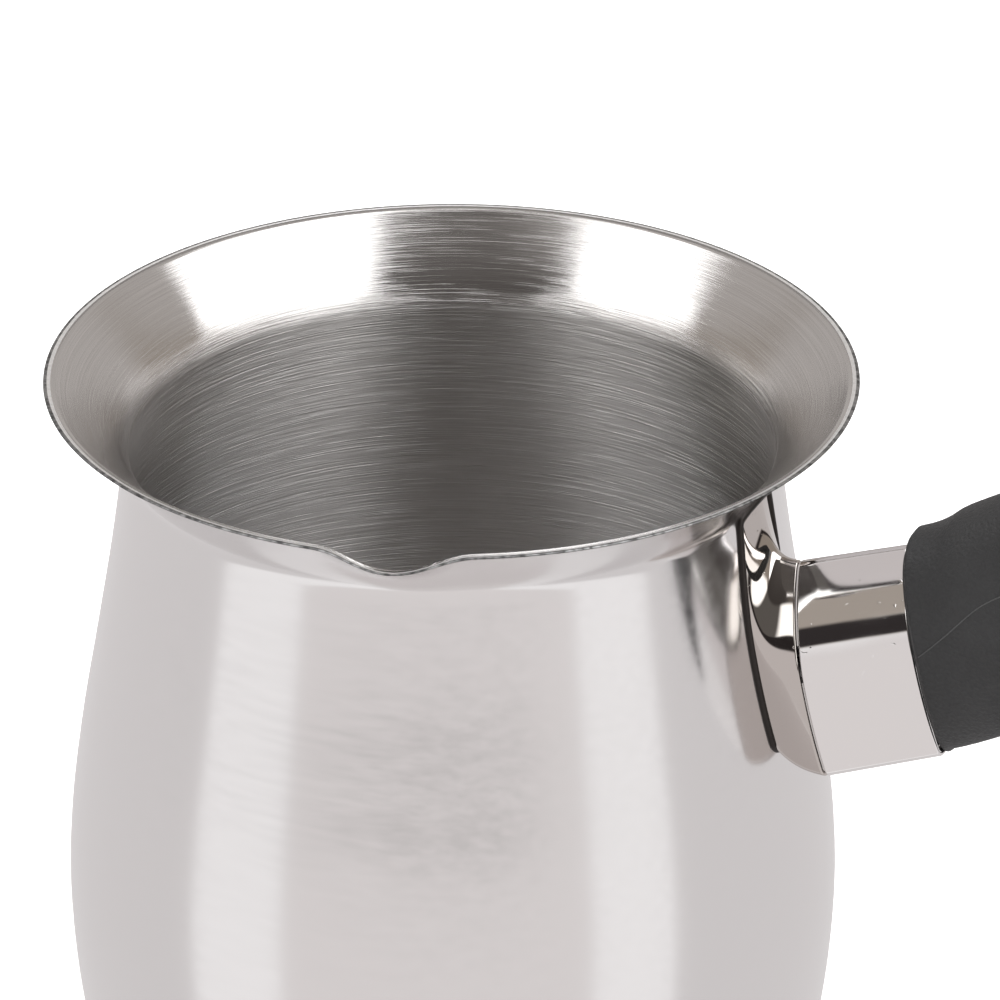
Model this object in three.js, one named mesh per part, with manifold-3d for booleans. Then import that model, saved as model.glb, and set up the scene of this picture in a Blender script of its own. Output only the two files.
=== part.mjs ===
// Turkish coffee pot (cezve) in polished stainless steel with a black moulded grip.
//
// Frame: millimetres, +Z up. The origin is the centre of the flat underside, and the
// handle leaves the pot along +X. The pouring lip is on the -Y side.
//
// The pot is one deep-drawn sheet. A hollow pressed bracket is welded to the shoulder, and
// carries a threaded bar. One long screw, which enters through the underside of the grip,
// pulls the grip and the polished ferrule up against the bracket.

import * as THREE from 'three';
import { mergeVertices } from 'three/addons/utils/BufferGeometryUtils.js';
import Module from 'manifold-3d';

const wasm = await Module();
wasm.setup();

// ---------------------------------------------------------------- driving dimensions
const RIM_RADIUS = 45;
const RIM_HEIGHT = 103;
const SHEET = 0.6;
const GAP = 0.3;

const BASE_FLAT_RADIUS = 31.2;
const BASE_CORNER_RADIUS = 7;
const BASE_CORNER_TURN = THREE.MathUtils.degToRad(70);

// Outer wall between the base corner and the neck: [radius, height].
const WALL_STATIONS = [
  [40.85, 15.25], [43.0, 26.5], [43.87, 38.5], [43.43, 49],
  [41.94, 60.25], [39.93, 71.5], [37.98, 82.75],
];
const NECK = [36.45, 93.5];
const NECK_HANDLE = [-0.22, 2.2];
const RIM_SLOPE = THREE.MathUtils.degToRad(38);
const RIM_HANDLE_LENGTH = 6;
const RIM_EDGE_WIDTH = 0.8;

const LIP_ANGLE = THREE.MathUtils.degToRad(-73);
const LIP_HALF_ANGLE = THREE.MathUtils.degToRad(11);
const LIP_REACH = 2.4;
const LIP_DROP = 0.9;

const POT_SEGMENTS = 72;
const CORNER_SEGMENTS = 4;
const WALL_STEPS = 10;
const FLARE_STEPS = 5;

// Handle root: the seam between bracket and ferrule.
const SEAM_X = 44.2;
const SEAM_Z = RIM_HEIGHT - 26.8;
const SEAM_LEAN = THREE.MathUtils.degToRad(12);
const HANDLE_RISE = THREE.MathUtils.degToRad(21.8);
const FERRULE_LENGTH = 14;
const FERRULE_END_LEAN = THREE.MathUtils.degToRad(14);
const FERRULE_TAPER = 0.97;
const FERRULE_SHEET = 0.5;

// Cross-section of the handle root, upright: a tight round on top, two flank arcs that meet
// where it is widest, and a tight corner into the flat bottom.
const ROOT_HEIGHT = 24.8;
const ROOT_WIDEST_UP = -0.45;
const ROOT_TOP_ROUND = 1.1;
const ROOT_UPPER_FLANK = 20.3;
const ROOT_LOWER_FLANK = 50;
const ROOT_BOTTOM_ROUND = 1.6;

const BRACKET_SHEET = 0.7;
const BRACKET_BOTTOM_SPREAD = -0.11;
const BRACKET_TOP_LIFT = 13.8;
const BRACKET_LIFT_POWER = 3.6;
const BRACKET_BOTTOM_RISE = 6.2;
const BRACKET_RISE_POWER = 2.7;
const BRACKET_END_X = 36.7;
const BRACKET_END_LEAN = -0.08;
const BRACKET_STEPS = 8;

const THREAD_RADIUS = 2;
const CLEARANCE_RADIUS = 2.3;
const BAR_LENGTH = 10.4;
const BAR_WIDTH = 7.6;
const BAR_THICKNESS = 2.2;
const BAR_SETBACK = 3.1;

// The grip's centre line leaves the ferrule along the handle axis, bends up, then levels out.
const SPIGOT_LENGTH = 9;
const GRIP_LENGTH = 116;
const GRIP_STEPS = 28;
const GRIP_BEND_UP = THREE.MathUtils.degToRad(10);
const GRIP_BEND_LENGTH = 12.5;
const GRIP_LEVEL_START = 42;
const GRIP_LEVEL_DROP = THREE.MathUtils.degToRad(7);
const GRIP_SHOULDER = 0.8;
const GRIP_STEP_UP = 0.8;
const GRIP_LIFT = 0.85;
const GRIP_END_ROUND = 10;
const GRIP_END_FLAT = 0.14;
const GRIP_END_WIDTH_SHARE = 0.45;
const GRIP_CORNER_POWER = 2.6;

// Half sizes of the grip: at the ferrule, then each change as [amount, start, length].
const ROOT_HALF_HEIGHT = 12.3;
const HEIGHT_CHANGES = [[0.45, 0, GRIP_SHOULDER], [-0.3, 0, 10], [-2.9, 12, 45], [1.3, 60, 40]];
const ROOT_GRIP_HALF_WIDTH = 5.2;
const WIDTH_CHANGES = [[0.8, 0, GRIP_SHOULDER], [1.2, 0, 30], [-0.4, 60, 40]];

// Fasteners.
const SCREW_SEAT = 26;
const SCREW_CHAMFER = 0.5;
const SCREW_TIP_SETBACK = 0.2;
const HEAD_CHAMFER = 1;
const SLOT_WIDTH = 1;
const SLOT_DEPTH = 0.7;
const HEAD_RADIUS = 3.5;
const HEAD_HEIGHT = 2.6;
const COUNTERBORE_RADIUS = 4.7;
const COUNTERBORE_REACH = 60;
const WASHER_RADIUS = 4.2;
const FLAT_WASHER_THICKNESS = 0.8;
const SPRING_WASHER_RADIUS = 3.5;
const SPRING_WASHER_THICKNESS = 0.9;
const SPRING_WASHER_HALF_CUT = 0.12;
const HANG_HOLE_RADIUS = 3.8;
const HANG_HOLE_FROM_END = 11;

// ---------------------------------------------------------------- materials
const polishedSteel = { color: 0xcfcbcc, roughness: 0.12, metalness: 1 };
const plainSteel = { color: 0x9a9a9c, roughness: 0.35, metalness: 1 };
const zincSteel = { color: 0xb4b8bb, roughness: 0.3, metalness: 1 };
const blackResin = { color: 0x2c2c2e, roughness: 0.6, metalness: 0 };

// ---------------------------------------------------------------- solids
function solid(geometry) {
  const bare = geometry.clone();
  bare.deleteAttribute('normal');
  bare.deleteAttribute('uv');
  const merged = mergeVertices(bare, 1e-4);
  const index = merged.index.array;
  const triangles = [];
  for (let i = 0; i < index.length; i += 3) {
    const [a, b, c] = [index[i], index[i + 1], index[i + 2]];
    if (a !== b && b !== c && c !== a) {
      triangles.push(a, b, c);
    }
  }
  const mesh = new wasm.Mesh({
    numProp: 3,
    vertProperties: new Float32Array(merged.attributes.position.array),
    triVerts: new Uint32Array(triangles),
  });
  return new wasm.Manifold(mesh);
}

function geometryOf(body) {
  const mesh = body.getMesh();
  const geometry = new THREE.BufferGeometry();
  geometry.setAttribute('position', new THREE.BufferAttribute(new Float32Array(mesh.vertProperties), 3));
  geometry.setIndex(new THREE.BufferAttribute(new Uint32Array(mesh.triVerts), 1));
  geometry.computeVertexNormals();
  return geometry;
}

function moveVertices(geometry, place) {
  const position = geometry.attributes.position;
  const point = new THREE.Vector3();
  for (let i = 0; i < position.count; i += 1) {
    point.fromBufferAttribute(position, i);
    place(point);
    position.setXYZ(i, point.x, point.y, point.z);
  }
  geometry.computeVertexNormals();
  return geometry;
}

// A lathe about +Z from [radius, height] points.
function latheZ(points, segments) {
  const profile = points.map(([radius, height]) => new THREE.Vector2(radius, height));
  return new THREE.LatheGeometry(profile, segments).rotateX(Math.PI / 2);
}

// A cylinder along +X, from start to end.
function rodX(radius, start, end, segments = 24) {
  const rod = new THREE.CylinderGeometry(radius, radius, end - start, segments);
  return rod.rotateZ(-Math.PI / 2).translate((start + end) / 2, 0, 0);
}

// ---------------------------------------------------------------- pot
function outerWall() {
  const points = [[0, 0], [BASE_FLAT_RADIUS * 0.5, 0], [BASE_FLAT_RADIUS, 0]];
  for (let i = 1; i <= CORNER_SEGMENTS; i += 1) {
    const turn = BASE_CORNER_TURN * (i / CORNER_SEGMENTS);
    points.push([
      BASE_FLAT_RADIUS + BASE_CORNER_RADIUS * Math.sin(turn),
      BASE_CORNER_RADIUS * (1 - Math.cos(turn)),
    ]);
  }
  const stations = [points[points.length - 1], ...WALL_STATIONS, NECK];
  const wall = new THREE.SplineCurve(stations.map(([r, z]) => new THREE.Vector2(r, z)));
  for (let i = 1; i <= WALL_STEPS; i += 1) {
    const point = wall.getPoint(i / WALL_STEPS);
    points.push([point.x, point.y]);
  }
  const flare = new THREE.CubicBezierCurve(
    new THREE.Vector2(...NECK),
    new THREE.Vector2(NECK[0] + NECK_HANDLE[0], NECK[1] + NECK_HANDLE[1]),
    new THREE.Vector2(
      RIM_RADIUS - RIM_HANDLE_LENGTH * Math.cos(RIM_SLOPE),
      RIM_HEIGHT - RIM_HANDLE_LENGTH * Math.sin(RIM_SLOPE),
    ),
    new THREE.Vector2(RIM_RADIUS, RIM_HEIGHT),
  );
  for (let i = 1; i <= FLARE_STEPS; i += 1) {
    const point = flare.getPoint(i / FLARE_STEPS);
    points.push([point.x, point.y]);
  }
  return points;
}

// The wall line moved sideways: positive distances go into the pot.
function offsetWall(points, distance) {
  return points.map(([r, z], i) => {
    const before = points[Math.max(i - 1, 0)];
    const after = points[Math.min(i + 1, points.length - 1)];
    const along = new THREE.Vector2(after[0] - before[0], after[1] - before[1]).normalize();
    if (r === 0) {
      return [0, z + distance];
    }
    return [r - along.y * distance, z + along.x * distance];
  });
}

// The pouring lip: the flare is drawn outward and down around one direction.
function drawLip(point) {
  const radius = Math.hypot(point.x, point.y);
  const height = (point.z - NECK[1]) / (RIM_HEIGHT - NECK[1]);
  if (height <= 0 || radius === 0) {
    return;
  }
  const away = Math.abs(Math.atan2(point.y, point.x) - LIP_ANGLE) / LIP_HALF_ANGLE;
  if (away >= 1) {
    return;
  }
  const amount = Math.cos((away * Math.PI) / 2) ** 2 * height ** 2;
  const scale = (radius + LIP_REACH * amount) / radius;
  point.x *= scale;
  point.y *= scale;
  point.z -= LIP_DROP * amount;
}

function potBody() {
  const outside = outerWall();
  const inside = offsetWall(outside, SHEET);
  inside[inside.length - 1] = [RIM_RADIUS - RIM_EDGE_WIDTH, RIM_HEIGHT];
  inside.reverse();
  return moveVertices(latheZ([...outside, ...inside], POT_SEGMENTS), drawLip);
}

// The pot as a filled solid, grown by the gap that its neighbours keep.
function potEnvelope() {
  const grown = offsetWall(outerWall(), -GAP);
  return solid(latheZ([...grown, [0, RIM_HEIGHT + GAP]], POT_SEGMENTS));
}

// ---------------------------------------------------------------- handle root
// The section lies in the XY plane of its shape: x is across the handle, y is up.
function rootOutline(shrink) {
  const top = ROOT_HEIGHT / 2 - ROOT_TOP_ROUND;
  const bottom = ROOT_BOTTOM_ROUND - ROOT_HEIGHT / 2;
  const topTurn = Math.asin((top - ROOT_WIDEST_UP) / (ROOT_UPPER_FLANK - ROOT_TOP_ROUND));
  const bottomTurn = Math.asin((ROOT_WIDEST_UP - bottom) / (ROOT_LOWER_FLANK - ROOT_BOTTOM_ROUND));
  const upperX = -(ROOT_UPPER_FLANK - ROOT_TOP_ROUND) * Math.cos(topTurn);
  const lowerX = upperX + ROOT_UPPER_FLANK - ROOT_LOWER_FLANK;
  const cornerX = lowerX + (ROOT_LOWER_FLANK - ROOT_BOTTOM_ROUND) * Math.cos(bottomTurn);
  // The right side from the bottom up, as arcs: [centre x, centre y, radius, from, to, steps].
  const arcs = [
    [cornerX, bottom, ROOT_BOTTOM_ROUND, -Math.PI / 2, -bottomTurn, 3],
    [lowerX, ROOT_WIDEST_UP, ROOT_LOWER_FLANK, -bottomTurn, 0, 3],
    [upperX, ROOT_WIDEST_UP, ROOT_UPPER_FLANK, 0, topTurn, 6],
    [0, top, ROOT_TOP_ROUND, topTurn, Math.PI / 2, 2],
  ];
  const right = arcs.flatMap(([x, y, radius, from, to, steps]) => (
    Array.from({ length: steps }, (_, i) => {
      const turn = THREE.MathUtils.lerp(from, to, i / steps);
      const reach = radius - shrink;
      return new THREE.Vector2(x + reach * Math.cos(turn), y + reach * Math.sin(turn));
    })
  ));
  const left = right.map(({ x, y }) => new THREE.Vector2(-x, y)).reverse();
  return [...right, new THREE.Vector2(0, ROOT_HEIGHT / 2 - shrink), ...left];
}

function rootShape(shrink, sheet = 0) {
  const shape = new THREE.Shape(rootOutline(shrink));
  if (sheet > 0) {
    shape.holes.push(new THREE.Path(rootOutline(shrink + sheet).reverse()));
  }
  return shape;
}

// Extrudes a section along +Z, then carries each vertex to place(across, up, along).
function sweep(shape, length, steps, place) {
  const geometry = new THREE.ExtrudeGeometry(shape, { depth: length, steps, bevelEnabled: false });
  return moveVertices(geometry, (point) => {
    const [x, y, z] = place(point.x, point.y, point.z);
    point.set(x, y, z);
  });
}

// A point of the handle root in the plane y = 0, at a height up the leaning seam.
function seamPoint(up, lean = SEAM_LEAN) {
  return [SEAM_X - up * Math.sin(lean), SEAM_Z + up * Math.cos(lean)];
}

function handleBracket() {
  const place = (across, up, along) => {
    const t = 1 - along;
    const share = up / ROOT_HEIGHT + 0.5;
    const [seamX, seamZ] = seamPoint(up);
    const endX = BRACKET_END_X + BRACKET_END_LEAN * up;
    const lift = BRACKET_TOP_LIFT * t ** BRACKET_LIFT_POWER * share;
    const rise = BRACKET_BOTTOM_RISE * t ** BRACKET_RISE_POWER * (1 - share);
    return [
      seamX + (endX - seamX) * t,
      across * (1 + BRACKET_BOTTOM_SPREAD * (1 - share) * t ** 2),
      seamZ + lift + rise,
    ];
  };
  const tube = sweep(rootShape(0, BRACKET_SHEET), 1, BRACKET_STEPS, place);
  return geometryOf(solid(tube).subtract(potEnvelope()));
}

// The ferrule's own cross-sections, which lean a little more towards its far end.
function onFerrule(across, up, along) {
  const lean = SEAM_LEAN + (FERRULE_END_LEAN - SEAM_LEAN) * (along / FERRULE_LENGTH);
  const [x, z] = seamPoint(up, lean);
  return [x + along * Math.cos(HANDLE_RISE), across, z + along * Math.sin(HANDLE_RISE)];
}

function ferrule() {
  const place = (across, up, along) => {
    const scale = 1 + (FERRULE_TAPER - 1) * (along / FERRULE_LENGTH);
    return onFerrule(across * scale, up * scale, along + GAP);
  };
  return sweep(rootShape(0, FERRULE_SHEET), FERRULE_LENGTH - GAP, 1, place);
}

// Puts a piece built along +X onto the handle axis, with x = 0 at the seam.
function ontoAxis(geometry) {
  return geometry.rotateY(-HANDLE_RISE).translate(SEAM_X, 0, SEAM_Z);
}

function anchorBar() {
  const half = BAR_WIDTH / 2;
  const reach = BAR_LENGTH / 2 - half;
  const outline = new THREE.Shape();
  outline.absarc(0, reach, half, 0, Math.PI, false);
  outline.absarc(0, -reach, half, Math.PI, 2 * Math.PI, false);
  const hole = new THREE.Path();
  hole.absarc(0, 0, THREAD_RADIUS + GAP, 0, 2 * Math.PI, true);
  outline.holes.push(hole);
  const settings = { depth: BAR_THICKNESS, bevelEnabled: false, curveSegments: 16 };
  const bar = new THREE.ExtrudeGeometry(outline, settings);
  bar.rotateX(Math.PI / 2).rotateZ(Math.PI / 2).translate(-BAR_SETBACK, 0, 0);
  return ontoAxis(bar);
}

// ---------------------------------------------------------------- grip
function smooth(t) {
  const clamped = Math.min(Math.max(t, 0), 1);
  return clamped * clamped * (3 - 2 * clamped);
}

function gripSlope(s) {
  const up = GRIP_BEND_UP * smooth(s / GRIP_BEND_LENGTH);
  const down = GRIP_LEVEL_DROP * smooth((s - GRIP_LEVEL_START) / (GRIP_LENGTH - GRIP_LEVEL_START));
  return HANDLE_RISE + up - down;
}

function gripCentre(s) {
  const pieces = 60;
  const start = onFerrule(0, 0, FERRULE_LENGTH + GAP);
  const point = [start[0], start[2]];
  for (let i = 0; i < pieces; i += 1) {
    const slope = gripSlope(((i + 0.5) / pieces) * s);
    point[0] += (Math.cos(slope) * s) / pieces;
    point[1] += (Math.sin(slope) * s) / pieces;
  }
  return point;
}

// Half height and half width of the grip, at a distance s from the ferrule.
function gripSize(s) {
  const grow = (size, [amount, start, length]) => size + amount * smooth((s - start) / length);
  const halfHeight = HEIGHT_CHANGES.reduce(grow, ROOT_HALF_HEIGHT);
  const halfWidth = WIDTH_CHANGES.reduce(grow, ROOT_GRIP_HALF_WIDTH);
  const round = Math.min(Math.max(GRIP_LENGTH - s, 0) / GRIP_END_ROUND, 1);
  const end = Math.max(Math.sqrt(1 - (1 - round) ** 2), GRIP_END_FLAT);
  return [halfHeight * end, halfWidth * THREE.MathUtils.lerp(GRIP_END_WIDTH_SHARE, 1, end)];
}

function gripSection() {
  const points = [];
  const count = 24;
  const power = 2 / GRIP_CORNER_POWER;
  for (let i = 0; i < count; i += 1) {
    const turn = (2 * Math.PI * i) / count;
    const [c, s] = [Math.cos(turn), Math.sin(turn)];
    points.push(new THREE.Vector2(
      Math.sign(c) * Math.abs(c) ** power,
      Math.sign(s) * Math.abs(s) ** power,
    ));
  }
  return new THREE.Shape(points);
}

function gripBody() {
  return sweep(gripSection(), 1, GRIP_STEPS, (across, up, along) => {
    const s = (GRIP_LENGTH * (1 - Math.cos(Math.PI * along))) / 2;
    const [halfHeight, halfWidth] = gripSize(s);
    const [x, z] = gripCentre(s);
    const settle = smooth(s / GRIP_BEND_LENGTH);
    const lean = FERRULE_END_LEAN + (gripSlope(s) - FERRULE_END_LEAN) * settle;
    const height = up * halfHeight + GRIP_STEP_UP * smooth(s / GRIP_SHOULDER) + GRIP_LIFT * settle;
    return [x - height * Math.sin(lean), across * halfWidth, z + height * Math.cos(lean)];
  });
}

function grip() {
  // The spigot and the bore run this far into what they join or open into.
  const overlap = 1;
  const spigotShape = rootShape(FERRULE_SHEET + GAP);
  const spigotLength = SPIGOT_LENGTH + GAP + overlap;
  const spigot = sweep(spigotShape, spigotLength, 1, (across, up, along) => onFerrule(
    across * FERRULE_TAPER,
    up * FERRULE_TAPER,
    FERRULE_LENGTH - SPIGOT_LENGTH + along,
  ));
  const seat = FERRULE_LENGTH + SCREW_SEAT;
  const bore = ontoAxis(rodX(CLEARANCE_RADIUS, 0, seat + overlap));
  const counterbore = ontoAxis(rodX(COUNTERBORE_RADIUS, seat, seat + COUNTERBORE_REACH));
  const [holeX, holeZ] = gripCentre(GRIP_LENGTH - HANG_HOLE_FROM_END);
  const holeDepth = 4 * ROOT_HALF_HEIGHT;
  const hole = new THREE.CylinderGeometry(HANG_HOLE_RADIUS, HANG_HOLE_RADIUS, holeDepth, 28);
  hole.translate(holeX, 0, holeZ);
  return geometryOf(
    solid(gripBody())
      .add(solid(spigot))
      .subtract(solid(bore))
      .subtract(solid(counterbore))
      .subtract(solid(hole)),
  );
}

// ---------------------------------------------------------------- fasteners
const STACK = FERRULE_LENGTH + SCREW_SEAT + GAP;
const SPRING_START = STACK + FLAT_WASHER_THICKNESS + GAP;
const HEAD_START = SPRING_START + SPRING_WASHER_THICKNESS + GAP;

function washer(outer, thickness, start) {
  const inner = CLEARANCE_RADIUS;
  const ring = latheZ([[inner, 0], [outer, 0], [outer, thickness], [inner, thickness], [inner, 0]], 32);
  return ontoAxis(ring.rotateY(Math.PI / 2).translate(start, 0, 0));
}

// A split washer: the ring has one narrow cut.
function springWasher() {
  const inner = CLEARANCE_RADIUS;
  const outline = new THREE.Shape();
  const [from, to] = [SPRING_WASHER_HALF_CUT, 2 * Math.PI - SPRING_WASHER_HALF_CUT];
  outline.absarc(0, 0, SPRING_WASHER_RADIUS, from, to, false);
  outline.absarc(0, 0, inner, to, from, true);
  const settings = { depth: SPRING_WASHER_THICKNESS, bevelEnabled: false, curveSegments: 24 };
  const ring = new THREE.ExtrudeGeometry(outline, settings);
  return ontoAxis(ring.rotateY(Math.PI / 2).translate(SPRING_START, 0, 0));
}

// Pan head, slotted. The shank ends inside the threaded bar.
function tieScrew() {
  const tip = -BAR_SETBACK + SCREW_TIP_SETBACK;
  const crown = HEAD_START + HEAD_HEIGHT;
  const profile = [
    [0, tip],
    [THREAD_RADIUS - SCREW_CHAMFER, tip],
    [THREAD_RADIUS, tip + SCREW_CHAMFER],
    [THREAD_RADIUS, HEAD_START],
    [HEAD_RADIUS, HEAD_START],
    [HEAD_RADIUS, crown - HEAD_CHAMFER],
    [HEAD_RADIUS - HEAD_CHAMFER, crown],
    [0, crown],
  ];
  const screw = latheZ(profile, 24).rotateY(Math.PI / 2);
  const slot = new THREE.BoxGeometry(2 * SLOT_DEPTH, 3 * HEAD_RADIUS, SLOT_WIDTH).translate(crown, 0, 0);
  return ontoAxis(geometryOf(solid(screw).subtract(solid(slot))));
}

// ---------------------------------------------------------------- assembly
function part(name, geometry, finish) {
  const mesh = new THREE.Mesh(geometry, new THREE.MeshStandardMaterial(finish));
  mesh.name = name;
  return mesh;
}

const pot = new THREE.Group();
pot.add(part('pot_body', potBody(), polishedSteel));
pot.add(part('handle_bracket', handleBracket(), polishedSteel));

const handle = new THREE.Group();
handle.add(part('anchor_bar', anchorBar(), plainSteel));
handle.add(part('ferrule', ferrule(), polishedSteel));
handle.add(part('grip', grip(), blackResin));
handle.add(part('flat_washer', washer(WASHER_RADIUS, FLAT_WASHER_THICKNESS, STACK), zincSteel));
handle.add(part('spring_washer', springWasher(), zincSteel));
handle.add(part('tie_screw', tieScrew(), zincSteel));
pot.add(handle);

export default pot;
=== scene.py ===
import math
import bpy
import numpy as np
from mathutils import Matrix, Vector


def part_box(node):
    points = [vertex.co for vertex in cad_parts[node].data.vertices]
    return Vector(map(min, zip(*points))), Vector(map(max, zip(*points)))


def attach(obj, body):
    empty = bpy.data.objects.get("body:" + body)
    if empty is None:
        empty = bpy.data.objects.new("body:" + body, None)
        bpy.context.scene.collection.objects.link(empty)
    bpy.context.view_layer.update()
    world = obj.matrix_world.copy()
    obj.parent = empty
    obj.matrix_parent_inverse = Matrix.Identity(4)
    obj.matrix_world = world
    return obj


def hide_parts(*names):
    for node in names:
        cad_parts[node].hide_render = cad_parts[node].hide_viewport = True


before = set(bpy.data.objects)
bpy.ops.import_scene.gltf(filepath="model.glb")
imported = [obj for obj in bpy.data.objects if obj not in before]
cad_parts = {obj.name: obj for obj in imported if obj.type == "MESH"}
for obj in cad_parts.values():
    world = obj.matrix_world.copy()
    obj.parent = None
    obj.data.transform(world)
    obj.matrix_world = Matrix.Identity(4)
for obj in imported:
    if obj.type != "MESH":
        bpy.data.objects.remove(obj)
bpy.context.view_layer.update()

# ------------------------------------------------------------------ driving dimensions
# Lengths are in millimetres here, and become metres when a mesh is made.
MM = 0.001
pot_low, pot_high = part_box("pot_body")
RIM_RADIUS = pot_high.x / MM
RIM_HEIGHT = pot_high.z / MM
SHEET = 0.6
BASE_FLAT_RADIUS = 31.2
BASE_CORNER_RADIUS = 7.0
BASE_CORNER_TURN = math.radians(70)
WALL_STATIONS = [
    (40.85, 15.25), (43.0, 26.5), (43.87, 38.5), (43.43, 49.0),
    (41.94, 60.25), (39.93, 71.5), (37.98, 82.75),
]
NECK = (36.45, 93.5)
NECK_HANDLE = (-0.22, 2.2)
RIM_SLOPE = math.radians(38)
RIM_HANDLE_LENGTH = 6.0
RIM_EDGE_WIDTH = 0.8
RIM_EDGE_EASE = 0.12
LIP_ANGLE = math.radians(-73)
LIP_HALF_ANGLE = math.radians(11)
LIP_REACH = 2.4
LIP_DROP = 0.9

SEAM_X = 44.2
SEAM_Z = RIM_HEIGHT - 26.8
SEAM_LEAN = math.radians(12)
HANDLE_RISE = math.radians(21.8)
FERRULE_LENGTH = 14.0
FERRULE_END_LEAN = math.radians(14)
FERRULE_TAPER = 0.97
FERRULE_SHEET = 0.5
ROOT_HEIGHT = 24.8
ROOT_WIDEST_UP = -0.45
ROOT_TOP_ROUND = 1.1
ROOT_UPPER_FLANK = 20.3
ROOT_LOWER_FLANK = 50.0
ROOT_BOTTOM_ROUND = 1.6
BRACKET_SHEET = 0.7
BRACKET_BOTTOM_SPREAD = -0.11
BRACKET_TOP_LIFT = 13.8
BRACKET_LIFT_POWER = 3.6
BRACKET_BOTTOM_RISE = 6.2
BRACKET_RISE_POWER = 2.7
BRACKET_END_X = 36.7
BRACKET_END_LEAN = -0.08
WELD_DEPTH = 0.25
CONTACT_SHADE_RADIUS = 0.45
GAP = 0.3

GRIP_LENGTH = 116.0
GRIP_BEND_UP = math.radians(10)
GRIP_BEND_LENGTH = 12.5
GRIP_LEVEL_START = 42.0
GRIP_LEVEL_DROP = math.radians(7)
GRIP_SHOULDER = 0.8
GRIP_STEP_UP = 0.8
GRIP_LIFT = 0.85
GRIP_END_ROUND = 10.0
GRIP_END_FLAT = 0.02
GRIP_END_WIDTH_SHARE = 0.45
GRIP_CORNER_POWER = 2.6
GRIP_ROOT_HALF_HEIGHT = 12.3
GRIP_ROOT_HALF_WIDTH = 5.2
# Changes of the half height and half width: amount, where it starts, the length it takes.
HEIGHT_CHANGES = [(0.45, 0, GRIP_SHOULDER), (-0.3, 0, 10), (-2.9, 12, 45), (1.3, 60, 40)]
WIDTH_CHANGES = [(0.8, 0, GRIP_SHOULDER), (1.2, 0, 30), (-0.4, 60, 40)]
SCREW_SEAT = 26.0
CLEARANCE_RADIUS = 2.3
COUNTERBORE_RADIUS = 4.7
COUNTERBORE_CUT_LENGTH = 60
PARTING_RISE = 0.31
PARTING_RISE_LENGTH = 16.0
PARTING_RADIUS = 0.07
PARTING_START = 0.9
PARTING_STOP_BEFORE_END = 3
PARTING_STEPS = 200
HANG_HOLE_RADIUS = 3.8
HANG_HOLE_FROM_END = 11.0
HANG_HOLE_CUT_HALF_LENGTH = 20

# ------------------------------------------------------------------ camera
CAMERA_TURN = math.radians(24.5)
CAMERA_PITCH = math.radians(26.962)
CAMERA_ROLL = math.radians(0.071)
CAMERA_SIDE = 5.35
CAMERA_BACK = 596.5
CAMERA_ABOVE_RIM = 287.4
CAMERA_LENS = 216.0
CAMERA_SENSOR = 36
CAMERA_CLIP_START = 0.01

camera_right = Vector((math.cos(CAMERA_TURN), math.sin(CAMERA_TURN), 0))
camera_away = Vector((-math.sin(CAMERA_TURN), math.cos(CAMERA_TURN), 0))


def add_camera():
    data = bpy.data.cameras.new("photo_camera")
    data.lens = CAMERA_LENS
    data.sensor_width = CAMERA_SENSOR
    data.clip_start = CAMERA_CLIP_START
    camera = bpy.data.objects.new("photo_camera", data)
    bpy.context.scene.collection.objects.link(camera)
    place = camera_right * CAMERA_SIDE - camera_away * CAMERA_BACK
    place.z = RIM_HEIGHT + CAMERA_ABOVE_RIM
    look = camera_away * math.cos(CAMERA_PITCH) - Vector((0, 0, math.sin(CAMERA_PITCH)))
    up = camera_right.cross(look)
    basis = Matrix((camera_right, up, -look)).transposed()
    roll = Matrix.Rotation(CAMERA_ROLL, 3, "Z")
    camera.matrix_world = Matrix.Translation(place * MM) @ (basis @ roll).to_4x4()
    bpy.context.scene.camera = camera


add_camera()


# ------------------------------------------------------------------ meshes
def make_piece(name, points, faces, face_slots=None, materials=()):
    """A mesh object from millimetre points, smooth shaded."""
    mesh = bpy.data.meshes.new(name)
    mesh.from_pydata([tuple(np.asarray(p) * MM) for p in points], [], faces)
    mesh.validate()
    mesh.polygons.foreach_set("use_smooth", [True] * len(mesh.polygons))
    for material in materials:
        mesh.materials.append(material)
    if face_slots is not None:
        mesh.polygons.foreach_set("material_index", face_slots)
    piece = bpy.data.objects.new(name, mesh)
    bpy.context.scene.collection.objects.link(piece)
    return piece


def loft(rings, close_along=False, cap_ends=False):
    """Points and quads of a stack of closed rings, each with the same number of points."""
    count = len(rings[0])
    points = [p for ring in rings for p in ring]
    faces = []
    last = len(rings) if close_along else len(rings) - 1
    for i in range(last):
        a, b = i * count, ((i + 1) % len(rings)) * count
        for j in range(count):
            k = (j + 1) % count
            faces.append((a + j, a + k, b + k, b + j))
    if cap_ends:
        faces.append(tuple(reversed(range(count))))
        start = (len(rings) - 1) * count
        faces.append(tuple(range(start, start + count)))
    return points, faces


BEAD_REFERENCE = (0.3, 0.9, 0.3)


def bead(path, radius, closed, segments=10):
    """Points and quads of a thin round bead along a path."""
    path = [np.array(p) for p in path]
    last = len(path) - 1
    rings = []
    for i, point in enumerate(path):
        before = path[i - 1] if closed or i > 0 else path[0]
        after = path[(i + 1) % len(path)] if closed or i < last else path[last]
        along = (after - before) / np.linalg.norm(after - before)
        side = np.cross(along, BEAD_REFERENCE)
        side /= np.linalg.norm(side)
        other = np.cross(along, side)
        rings.append([
            tuple(point + radius * (math.cos(turn) * side + math.sin(turn) * other))
            for turn in (2 * math.pi * j / segments for j in range(segments))
        ])
    return loft(rings, close_along=closed, cap_ends=not closed)


def smooth(t):
    """An eased change from 0 to 1 while t goes from 0 to 1."""
    t = min(max(t, 0.0), 1.0)
    return t * t * (3 - 2 * t)


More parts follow.
